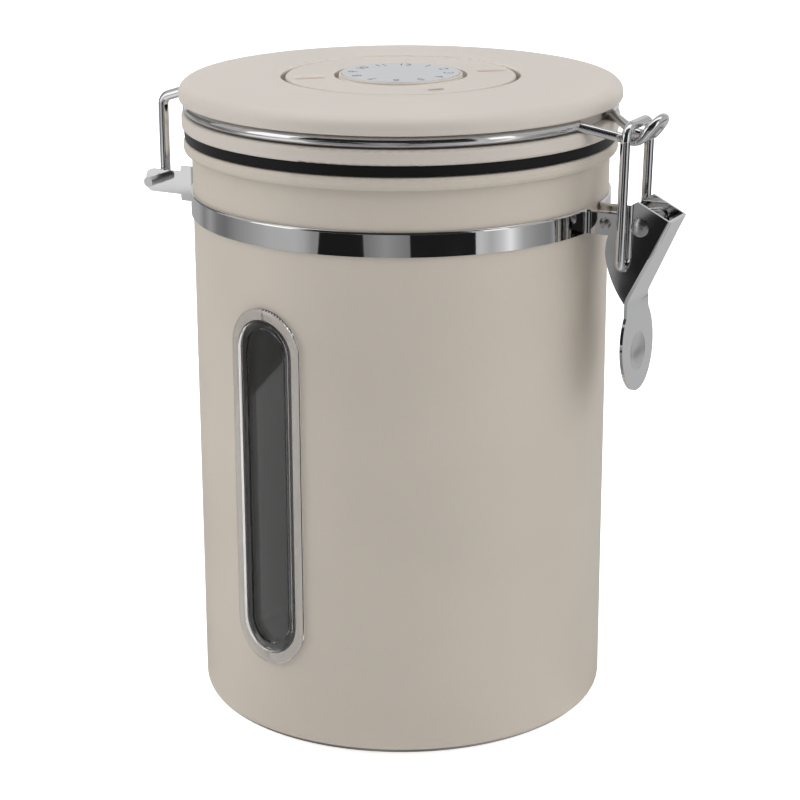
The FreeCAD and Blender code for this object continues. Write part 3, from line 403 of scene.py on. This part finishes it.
def grain_group():
    """Fine pebbled grain of a coat or a moulding, with faint cloudy shade."""
    group, given, made = new_group(
        "fine_grain",
        [
            ("Vector", "NodeSocketVector", None),
            ("Colour", "NodeSocketColor", (0.5, 0.5, 0.5, 1.0)),
            ("Grain", "NodeSocketFloat", 1800.0),
            ("Rough low", "NodeSocketFloat", 0.45),
            ("Rough high", "NodeSocketFloat", 0.55),
        ],
        [("Colour", "NodeSocketColor"), ("Roughness", "NodeSocketFloat"), ("Height", "NodeSocketFloat")],
    )
    pebble = add_node(
        group,
        "ShaderNodeTexNoise",
        None,
        {"Vector": given["Vector"], "Scale": given["Grain"], "Detail": 3.0, "Roughness": 0.55},
    )
    cloud = add_node(
        group, "ShaderNodeTexNoise", None, {"Vector": given["Vector"], "Scale": 22.0, "Detail": 2.0}
    )
    shade = map_range(group, cloud.outputs["Fac"], 0.975, 1.025, *NOISE_SPREAD)
    fleck = map_range(group, pebble.outputs["Fac"], 0.985, 1.015, *NOISE_SPREAD)
    tone = math_node(group, "MULTIPLY", shade, fleck)
    tinted = add_node(
        group, "ShaderNodeVectorMath", {"operation": "SCALE"}, {0: given["Colour"], "Scale": tone}
    )
    rough = map_range(group, cloud.outputs["Fac"], given["Rough low"], given["Rough high"], *NOISE_SPREAD)
    group.links.new(tinted.outputs["Vector"], made["Colour"])
    group.links.new(rough, made["Roughness"])
    group.links.new(pebble.outputs["Fac"], made["Height"])
    return group


def polish_group():
    """Polished metal's faint haze and hairline marks."""
    group, given, made = new_group(
        "polish_marks",
        [
            ("Vector", "NodeSocketVector", None),
            ("Rough low", "NodeSocketFloat", 0.03),
            ("Rough high", "NodeSocketFloat", 0.09),
        ],
        [("Roughness", "NodeSocketFloat"), ("Height", "NodeSocketFloat")],
    )
    haze = add_node(
        group, "ShaderNodeTexNoise", None, {"Vector": given["Vector"], "Scale": 90.0, "Detail": 4.0}
    )
    stretch = add_node(
        group,
        "ShaderNodeMapping",
        None,
        {"Vector": given["Vector"], "Scale": (1.0, 1.0, 14.0)},
    )
    hair = add_node(
        group,
        "ShaderNodeTexNoise",
        None,
        {"Vector": stretch.outputs["Vector"], "Scale": 260.0, "Detail": 5.0, "Roughness": 0.6},
    )
    rough = map_range(group, haze.outputs["Fac"], given["Rough low"], given["Rough high"], *NOISE_SPREAD)
    group.links.new(rough, made["Roughness"])
    group.links.new(hair.outputs["Fac"], made["Height"])
    return group


def place_group(tree, group, values):
    return add_node(tree, "ShaderNodeGroup", {"node_tree": group}, values).outputs


def object_place(material):
    """A material's tree, its shader and its Object coordinate output."""
    tree = material.node_tree
    return tree, tree.nodes["Principled BSDF"], tree.nodes["Texture Coordinate"].outputs["Object"]


def height_of(tree, vector):
    return add_node(tree, "ShaderNodeSeparateXYZ", None, {"Vector": vector}).outputs["Z"]


def distance_from(tree, vector, centre):
    values = {0: vector, 1: centre}
    return add_node(tree, "ShaderNodeVectorMath", {"operation": "DISTANCE"}, values).outputs["Value"]


def bump(tree, shader, height, strength, distance):
    node = add_node(
        tree, "ShaderNodeBump", None, {"Height": height, "Strength": strength, "Distance": distance}
    )
    tree.links.new(node.outputs["Normal"], shader.inputs["Normal"])


def grained(name, colour, grain, rough_low, rough_high, depth):
    """A matte surface with fine grain."""
    material, tree, shader, vector = new_material(name)
    group = bpy.data.node_groups.get("fine_grain") or grain_group()
    made = place_group(
        tree,
        group,
        {
            "Vector": vector,
            "Colour": (*colour, 1.0),
            "Grain": grain,
            "Rough low": rough_low,
            "Rough high": rough_high,
        },
    )
    tree.links.new(made["Colour"], shader.inputs["Base Color"])
    tree.links.new(made["Roughness"], shader.inputs["Roughness"])
    bump(tree, shader, made["Height"], 0.25, depth)
    return material, tree, shader, vector, made


def polished(name, colour, rough_low, rough_high, depth):
    """Bright metal with faint marks."""
    material, tree, shader, vector = new_material(name)
    group = bpy.data.node_groups.get("polish_marks") or polish_group()
    made = place_group(tree, group, {"Vector": vector, "Rough low": rough_low, "Rough high": rough_high})
    shader.inputs["Base Color"].default_value = (*colour, 1.0)
    shader.inputs["Metallic"].default_value = 1.0
    tree.links.new(made["Roughness"], shader.inputs["Roughness"])
    bump(tree, shader, made["Height"], 0.04, depth)
    return material


def roll_edge(material, top, width):
    """Turn a strap's upper edge over, as rolled strip is."""
    tree, shader, vector = object_place(material)
    near = map_range(tree, height_of(tree, vector), 0.0, 1.0, top - width, top)
    fall = math_node(tree, "MULTIPLY", math_node(tree, "MULTIPLY", near, near), -0.5)
    under = shader.inputs["Normal"].links[0].from_socket
    values = {"Height": fall, "Strength": 1.0, "Distance": width, "Normal": under}
    rolled = add_node(tree, "ShaderNodeBump", None, values)
    tree.links.new(rolled.outputs["Normal"], shader.inputs["Normal"])


def pale_walls(material, gain, rise, fall, centre, reach):
    """Paint light on thin walls between two heights: their colour is raised so that they look lit where
    they stand in shade.

    The walls start over the first pair of heights and end over the second. They lie
    round a centre, and the last pair says how far from it they fade in or out.
    """
    tree, shader, vector = object_place(material)
    height = height_of(tree, vector)
    above = map_range(tree, height, 0.0, 1.0, *rise)
    below = map_range(tree, height, 1.0, 0.0, *fall)
    near = map_range(tree, distance_from(tree, vector, centre), 0.0, 1.0, *reach)
    # Mask of the walls that get painted light
    wall = math_node(tree, "MULTIPLY", math_node(tree, "MULTIPLY", above, below), near)
    # Painted light: the base colour is scaled up by the gain on the masked walls
    values = {
        "Vector": shader.inputs["Base Color"].links[0].from_socket,
        "Scale": map_range(tree, wall, 1.0, gain),
    }
    paler = add_node(tree, "ShaderNodeVectorMath", {"operation": "SCALE"}, values)
    tree.links.new(paler.outputs["Vector"], shader.inputs["Base Color"])


def dull_spot(material, centre, radius, roughness):
    """Leave a pressed or cut spot duller than the polished metal round it."""
    tree, shader, vector = object_place(material)
    reach = distance_from(tree, vector, centre)
    dull = map_range(tree, reach, roughness, 0.0, radius * 0.9, radius * 1.1)
    rough = math_node(tree, "MAXIMUM", shader.inputs["Roughness"].links[0].from_socket, dull)
    tree.links.new(rough, shader.inputs["Roughness"])


def dress(material, *names):
    for name in names:
        node = NODES[name]
        node.data.materials.clear()
        node.data.materials.append(material)


def deselect():
    if bpy.context.object and bpy.context.object.mode != "OBJECT":
        bpy.ops.object.mode_set(mode="OBJECT")
    bpy.ops.object.select_all(action="DESELECT")


def seat(piece):
    """Put a piece's place into its mesh."""
    deselect()
    piece.select_set(True)
    bpy.context.view_layer.objects.active = piece
    bpy.ops.object.transform_apply(location=True, rotation=True, scale=True)


class CANISTER_OT_body(bpy.types.Operator):
    """Give the body its matte coat outside and bare steel inside"""

    bl_idname = "canister.body"
    bl_label = "Body"

    def execute(self, context):
        finishes = context.scene.canister_finishes
        coat = grained("body_coat", finishes.coat, 1500.0, 0.42, 0.52, 0.00006)
        material, tree, shader, vector, made = coat
        apart = add_node(tree, "ShaderNodeSeparateXYZ", None, {"Vector": vector})
        flat = add_node(
            tree,
            "ShaderNodeCombineXYZ",
            None,
            {"X": apart.outputs["X"], "Y": apart.outputs["Y"]},
        )
        reach = add_node(
            tree, "ShaderNodeVectorMath", {"operation": "LENGTH"}, {0: flat.outputs["Vector"]}
        ).outputs["Value"]
        within = math_node(tree, "LESS_THAN", reach, BARE_RADIUS)
        above = math_node(tree, "GREATER_THAN", apart.outputs["Z"], BARE_HEIGHT)
        bare = math_node(tree, "MULTIPLY", within, above)
        colour = add_node(
            tree,
            "ShaderNodeMix",
            {"data_type": "RGBA"},
            {"Factor": bare, 6: made["Colour"], 7: (0.55, 0.54, 0.53, 1.0)},
        )
        tree.links.new(colour.outputs[2], shader.inputs["Base Color"])
        tree.links.new(bare, shader.inputs["Metallic"])
        dress(material, "canister_body")
        return {"FINISHED"}


class CANISTER_OT_window(bpy.types.Operator):
    """Give the window its clear plastic, seal and frame"""

    bl_idname = "canister.window"
    bl_label = "Window"

    def execute(self, context):
        material, tree, shader, vector = new_material("clear_lens")
        shader.inputs["Base Color"].default_value = (0.97, 0.97, 0.97, 1.0)
        shader.inputs["Transmission Weight"].default_value = 1.0
        shader.inputs["IOR"].default_value = 1.49
        haze = add_node(tree, "ShaderNodeTexNoise", None, {"Vector": vector, "Scale": 60.0, "Detail": 3.0})
        rough = map_range(tree, haze.outputs["Fac"], 0.01, 0.03, *NOISE_SPREAD)
        tree.links.new(rough, shader.inputs["Roughness"])
        dress(material, "window_lens")
        frame_material = grained("dark_frame", (0.02, 0.02, 0.02), 1800.0, 0.5, 0.6, 0.00003)[0]
        dress(frame_material, "window_retainer", "dial_washer")
        seal_material = grained("clear_seal", (0.50, 0.46, 0.42), 900.0, 0.4, 0.5, 0.00002)[0]
        dress(seal_material, "window_seal")
        return {"FINISHED"}


class CANISTER_OT_metalwork(bpy.types.Operator):
    """Polish the strap, bracket, wires, lever and rivets"""

    bl_idname = "canister.metalwork"
    bl_label = "Metalwork"

    def execute(self, context):
        finishes = context.scene.canister_finishes
        sizes = context.scene.canister_sizes
        strap = polished("bright_strap", finishes.chrome, 0.03, 0.07, 0.00002)
        roll_edge(strap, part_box("clamp_band")[1][2], sizes.edge_roll)
        dress(strap, "clamp_band")
        dress(polished("bright_bracket", finishes.chrome, 0.03, 0.07, 0.00002), "hinge_bracket")
        lever = polished("bright_lever", finishes.chrome, 0.03, 0.07, 0.00002)
        dull_spot(lever, sizes.dish_centre, sizes.dish_radius, 0.32)
        dress(lever, "latch_lever")
        wire = polished("bright_wire", finishes.chrome, 0.05, 0.10, 0.00003)
        x, y, z = sizes.stub_centre
        for side in (-1, 1):
            dull_spot(wire, (x, side * y, z), sizes.stub_radius, 0.3)
        dress(wire, "ring_wire_near", "ring_wire_far", "latch_nose", "latch_link")
        rivet = polished("rivet_steel", [0.8 * part for part in finishes.chrome], 0.24, 0.32, 0.00003)
        dress(rivet, "clamp_rivet", "hinge_bracket_rivets", "lever_pivot", "dial_screw")
        return {"FINISHED"}


class CANISTER_OT_lid(bpy.types.Operator):
    """Give the lid its moulded plastic, seal and valve finishes"""

    bl_idname = "canister.lid"
    bl_label = "Lid"

    def execute(self, context):
        finishes = context.scene.canister_finishes
        sizes = context.scene.canister_sizes
        plastic = grained("lid_plastic", finishes.lid, 2200.0, 0.40, 0.48, 0.00004)[0]
        shader = object_place(plastic)[1]
        shader.inputs["Subsurface Weight"].default_value = 0.3
        shader.inputs["Subsurface Radius"].default_value = (1.0, 0.9, 0.8)
        shader.inputs["Subsurface Scale"].default_value = 0.0012
        dress(plastic, "lid_cover", "lid_base", "dial_cap", "valve_cage", "valve_grille")
        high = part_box("dial_disc")[1]
        level = high[2] - sizes.rib_rise
        # The dial's ring gets its own copy of the plastic, with painted light on the walls of its ribs
        ring = plastic.copy()
        ring.name = "dial_plastic_painted_light"
        room = sizes.pointer_room
        rise = (level + RIB_FADE, level + 2 * RIB_FADE)
        fall = (level + sizes.rib_rise / 2, high[2])
        pale_walls(ring, sizes.rib_gain, rise, fall, sizes.pointer_centre, (room * 0.9, room))
        dress(ring, "dial_disc")
        # Painted light on the lid plastic's walls round the dial's gap, against the shade in the gap
        edge = high[0] + sizes.dial_gap
        rise = (level - GAP_DEPTHS[0], level - GAP_DEPTHS[1])
        fall = (level - 2 * GAP_FADE, level - GAP_FADE)
        reach = (edge + 2 * GAP_MARGIN, edge + GAP_MARGIN)
        pale_walls(plastic, sizes.gap_gain, rise, fall, (0, 0, level), reach)
        rubber = grained("seal_rubber", finishes.seal, 1600.0, 0.42, 0.55, 0.00004)[0]
        shader = object_place(rubber)[1]
        shader.inputs["Specular IOR Level"].default_value = 0.15
        shader.inputs["Sheen Weight"].default_value = 0.12
        shader.inputs["Sheen Roughness"].default_value = 0.35
        dress(rubber, "lid_gasket")
        silicone = grained("valve_silicone", (0.45, 0.45, 0.44), 1200.0, 0.35, 0.45, 0.00003)[0]
        dress(silicone, "valve_disc")
        felt = grained("filter_felt", (0.62, 0.60, 0.55), 900.0, 0.85, 0.95, 0.0003)[0]
        dress(felt, "valve_filter")
        return {"FINISHED"}


class CANISTER_OT_dial(bpy.types.Operator):
    """Finish the number plate and add its numbers"""

    bl_idname = "canister.dial"
    bl_label = "Dial"

    def execute(self, context):
        finishes = context.scene.canister_finishes
        sizes = context.scene.canister_sizes
        plate = polished("satin_plate", (0.93, 0.94, 0.97), 0.30, 0.38, 0.00003)
        dress(plate, "number_plate")
        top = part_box("number_plate")[1][2]
        ink = grained("number_ink", finishes.numeral, 2500.0, 0.45, 0.55, 0.00002)[0]
        digits = []
        for number in range(1, 13):
            turn = sizes.numeral_turn - number * math.tau / 12
            place = Vector((math.cos(turn), math.sin(turn), 0)) * sizes.numeral_radius
            deselect()
            bpy.ops.object.text_add(
                location=(place.x, place.y, top - NUMERAL_SINK),
                rotation=(0, 0, turn - math.pi / 2),
            )
            text = context.object
            text.data.body = str(number)
            text.data.size = sizes.numeral_height
            text.data.align_x = "CENTER"
            text.data.align_y = "CENTER"
            text.data.extrude = NUMERAL_RISE
            bpy.ops.object.convert(target="MESH")
            seat(context.object)
            digits.append(context.object)
        deselect()
        for digit in digits:
            digit.select_set(True)
        context.view_layer.objects.active = digits[0]
        bpy.ops.object.join()
        numbers = context.object
        numbers.name = "dial_numbers"
        numbers.data.materials.clear()
        numbers.data.materials.append(ink)
        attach(numbers, "lid")
        return {"FINISHED"}


class CANISTER_OT_welds(bpy.types.Operator):
    """Lay the weld beads where the catch loop meets the wire ring"""

    bl_idname = "canister.welds"
    bl_label = "Welds"

    def execute(self, context):
        sizes = context.scene.canister_sizes
        finishes = context.scene.canister_finishes
        steel = polished("weld_steel", finishes.chrome, 0.12, 0.30, 0.0002)
        lumps = bpy.data.textures.new("weld_lumps", "CLOUDS")
        lumps.noise_scale = 0.0012
        lumps.noise_depth = 1
        for side, label in ((-1, "near"), (1, "far")):
            turn = side * sizes.weld_turn
            place = Vector((math.cos(turn), math.sin(turn), 0)) * sizes.ring_radius
            deselect()
            bpy.ops.mesh.primitive_ico_sphere_add(
                subdivisions=5,
                radius=sizes.weld_radius,
                location=(place.x, place.y, sizes.ring_height),
                rotation=(0, 0, turn),
                scale=(0.95, 1.3, 0.95),
            )
            bead = context.object
            bead.name = f"weld_bead_{label}"
            seat(bead)
            bpy.ops.object.modifier_add(type="DISPLACE")
            wave = bead.modifiers[-1]
            wave.texture = lumps
            wave.texture_coords = "LOCAL"
            wave.strength = 0.0006
            bpy.ops.object.modifier_apply(modifier=wave.name)
            bpy.ops.object.shade_smooth()
            bead.data.materials.append(steel)
            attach(bead, "lid")
        return {"FINISHED"}


class CANISTER_OT_studio(bpy.types.Operator):
    """Set the floor, the reflecting cards, the lamps and the camera"""

    bl_idname = "canister.studio"
    bl_label = "Studio"

    def execute(self, context):
        studio = context.scene.canister_studio
        self.add_floor(studio)
        self.add_ring()
        self.add_cards(studio)
        self.add_lamps(studio)
        self.add_camera(context, studio)
        context.scene.view_settings.view_transform = "Standard"
        return {"FINISHED"}

    def add_floor(self, studio):
        deselect()
        bpy.ops.mesh.primitive_plane_add(size=12.0, location=(0, 0, -0.0003))
        floor = bpy.context.object
        floor.name = "floor"
        seat(floor)
        material, tree, shader, vector = new_material("pale_floor")
        shader.inputs["Base Color"].default_value = (0.92, 0.92, 0.92, 1.0)
        shader.inputs["Roughness"].default_value = 0.9
        shader.inputs["Specular IOR Level"].default_value = 0.0
        shader.inputs["Emission Color"].default_value = (1.0, 1.0, 1.0, 1.0)
        path = tree.nodes.new("ShaderNodeLightPath")
        away = distance_from(tree, vector, (0, 0, 0))
        foot = map_range(tree, away, studio.foot_glow, 0.02, *FOOT_RADII)
        seen = map_range(tree, path.outputs["Is Camera Ray"], 0.0, 0.6)
        tree.links.new(math_node(tree, "MAXIMUM", foot, seen), shader.inputs["Emission Strength"])
        floor.data.materials.append(material)

    def add_ring(self):
        """A ground card of grey fields round the canister, seen only in the bright metal."""
        deselect()
        bpy.ops.mesh.primitive_circle_add(
            vertices=128, radius=3.0, fill_type="NGON", location=(0, 0, FIELD_HEIGHT)
        )
        ring = bpy.context.object
        ring.name = "grey_fields"
        seat(ring)
        material, tree, shader, vector = new_material("grey_fields")
        turned = add_node(
            tree,
            "ShaderNodeVectorRotate",
            {"rotation_type": "Z_AXIS"},
            {"Vector": vector, "Angle": math.radians(62)},
        )
        sweep = add_node(
            tree, "ShaderNodeTexGradient", {"gradient_type": "RADIAL"}, {"Vector": turned.outputs["Vector"]}
        )
        fields = add_node(tree, "ShaderNodeValToRGB", None, {"Fac": sweep.outputs["Fac"]})
        ramp = fields.color_ramp
        for place, grey in GREY_FIELDS:
            stop = ramp.elements.new(place / 360)
            stop.color = (grey, grey, grey, 1.0)
        for spare in (ramp.elements[0], ramp.elements[-1]):
            spare.color = (0.42, 0.42, 0.42, 1.0)
        shader.inputs["Base Color"].default_value = (0.0, 0.0, 0.0, 1.0)
        shader.inputs["Specular IOR Level"].default_value = 0.0
        tree.links.new(fields.outputs["Color"], shader.inputs["Emission Color"])
        shader.inputs["Emission Strength"].default_value = 1.0
        ring.data.materials.append(material)
        self.hide_card(ring)

    def hide_card(self, card):
        card.visible_camera = False
        card.visible_diffuse = False
        card.visible_shadow = False
        card.visible_transmission = False

    def add_cards(self, studio):
        """Dark and pale cards on the ground and round the canister, seen only in reflections."""
        for name, grey, corners in GROUND_CARDS:
            points = [(x, y, CARD_HEIGHT) for x, y in corners]
            self.add_card(name, grey, points, [list(range(len(corners)))])
        for name, grey, first, last, foot, head in STANDING_CARDS:
            points = []
            for step in range(CARD_STEPS + 1):
                turn = math.radians(first + (last - first) * step / CARD_STEPS)
                x, y = studio.wall_radius * math.cos(turn), studio.wall_radius * math.sin(turn)
                points += [(x, y, foot), (x, y, head)]
            faces = [[2 * step, 2 * step + 2, 2 * step + 3, 2 * step + 1] for step in range(CARD_STEPS)]
            self.add_card(name, grey, points, faces)
        ahead = Vector((math.sin(studio.azimuth), -math.cos(studio.azimuth), 0))
        aside = Vector((-ahead.y, ahead.x, 0)) * studio.ceiling_reach
        for name, grey, back, front in CEILING_STRIPS:
            start, end = ahead * back, ahead * front
            corners = (start - aside, start + aside, end + aside, end - aside)
            points = [(corner.x, corner.y, studio.ceiling_height) for corner in corners]
            self.add_card(name, grey, points, [[0, 1, 2, 3]])

    def add_card(self, name, grey, points, faces):
        material, tree, shader, vector = new_material(name)
        shader.inputs["Base Color"].default_value = (0.0, 0.0, 0.0, 1.0)
        shader.inputs["Specular IOR Level"].default_value = 0.0
        shader.inputs["Emission Color"].default_value = (grey, grey, grey, 1.0)
        shader.inputs["Emission Strength"].default_value = 1.0
        mesh = bpy.data.meshes.new(name)
        mesh.from_pydata(points, [], faces)
        card = bpy.data.objects.new(name, mesh)
        bpy.context.collection.objects.link(card)
        card.data.materials.append(material)
        self.hide_card(card)
        card.visible_transmission = name.endswith("window")

    def add_lamps(self, studio):
        lamps = {
            "top_softbox": ((0.05, -0.1, 1.5), (0, 0, 0.1), 2.2, 18.0),
            "left_softbox": ((-1.45, -0.55, 0.75), (0, 0, 0.1), 1.3, 15.0),
            "right_softbox": ((1.45, 0.25, 0.75), (0, 0, 0.1), 1.3, 10.0),
        }
        for name, (place, target, size, energy) in lamps.items():
            lamp = bpy.data.lights.new(name, "AREA")
            lamp.shape = "SQUARE"
            lamp.size = size
            lamp.energy = energy
            holder = bpy.data.objects.new(name, lamp)
            holder.location = place
            holder.rotation_euler = (Vector(target) - Vector(place)).to_track_quat("-Z", "Y").to_euler()
            holder.visible_glossy = False
            bpy.context.collection.objects.link(holder)
        world = bpy.data.worlds.new("white_room")
        world.use_nodes = True
        bpy.context.scene.world = world
        tree = world.node_tree
        even = tree.nodes["Background"]
        even.inputs["Color"].default_value = (1.0, 1.0, 1.0, 1.0)
        even.inputs["Strength"].default_value = studio.ambient
        values = {"Color": (1.0, 1.0, 1.0, 1.0), "Strength": 1.0}
        seen = add_node(tree, "ShaderNodeBackground", None, values)
        path = tree.nodes.new("ShaderNodeLightPath").outputs
        shown = math_node(tree, "MAXIMUM", path["Is Camera Ray"], path["Is Transmission Ray"])
        mix = tree.nodes.new("ShaderNodeMixShader")
        tree.links.new(shown, mix.inputs["Fac"])
        tree.links.new(even.outputs["Background"], mix.inputs[1])
        tree.links.new(seen.outputs["Background"], mix.inputs[2])
        tree.links.new(mix.outputs["Shader"], tree.nodes["World Output"].inputs["Surface"])

    def add_camera(self, context, studio):
        camera = bpy.data.cameras.new("photo_camera")
        camera.sensor_fit = "HORIZONTAL"
        camera.sensor_width = 36.0
        camera.lens = studio.lens
        camera.clip_start = 0.01
        holder = bpy.data.objects.new("photo_camera", camera)
        holder.location = (
            math.sin(studio.azimuth) * studio.distance,
            -math.cos(studio.azimuth) * studio.distance,
            studio.height,
        )
        aim = Euler((math.pi / 2 - studio.pitch, 0, studio.azimuth + studio.yaw)).to_matrix()
        lean = Matrix.Rotation(studio.roll, 3, "Z")
        holder.rotation_euler = (aim @ lean).to_euler()
        bpy.context.collection.objects.link(holder)
        context.scene.camera = holder


class CANISTER_PT_panel(bpy.types.Panel):
    """Lists the canister's finishing steps"""

    bl_idname = "CANISTER_PT_panel"
    bl_label = "Canister"
    bl_space_type = "VIEW_3D"
    bl_region_type = "UI"
    bl_category = "Canister"

    def draw(self, context):
        column = self.layout.column()
        for operator in OPERATORS:
            column.operator(operator.bl_idname)
        for group in (
            context.scene.canister_finishes,
            context.scene.canister_sizes,
            context.scene.canister_studio,
        ):
            for name in group.__annotations__:
                column.prop(group, name)


OPERATORS = (
    CANISTER_OT_body,
    CANISTER_OT_window,
    CANISTER_OT_metalwork,
    CANISTER_OT_lid,
    CANISTER_OT_dial,
    CANISTER_OT_welds,
    CANISTER_OT_studio,
)
CLASSES = (CanisterFinishes, CanisterSizes, CanisterStudio, *OPERATORS, CANISTER_PT_panel)


def register():
    for each in CLASSES:
        bpy.utils.register_class(each)
    bpy.types.Scene.canister_finishes = PointerProperty(type=CanisterFinishes)
    bpy.types.Scene.canister_sizes = PointerProperty(type=CanisterSizes)
    bpy.types.Scene.canister_studio = PointerProperty(type=CanisterStudio)


def unregister():
    del bpy.types.Scene.canister_studio
    del bpy.types.Scene.canister_sizes
    del bpy.types.Scene.canister_finishes
    for each in reversed(CLASSES):
        bpy.utils.unregister_class(each)


def main():
    register()
    bpy.ops.canister.body()
    bpy.ops.canister.window()
    bpy.ops.canister.metalwork()
    bpy.ops.canister.lid()
    bpy.ops.canister.dial()
    bpy.ops.canister.welds()
    bpy.ops.canister.studio()


if __name__ == "__main__":
    main()
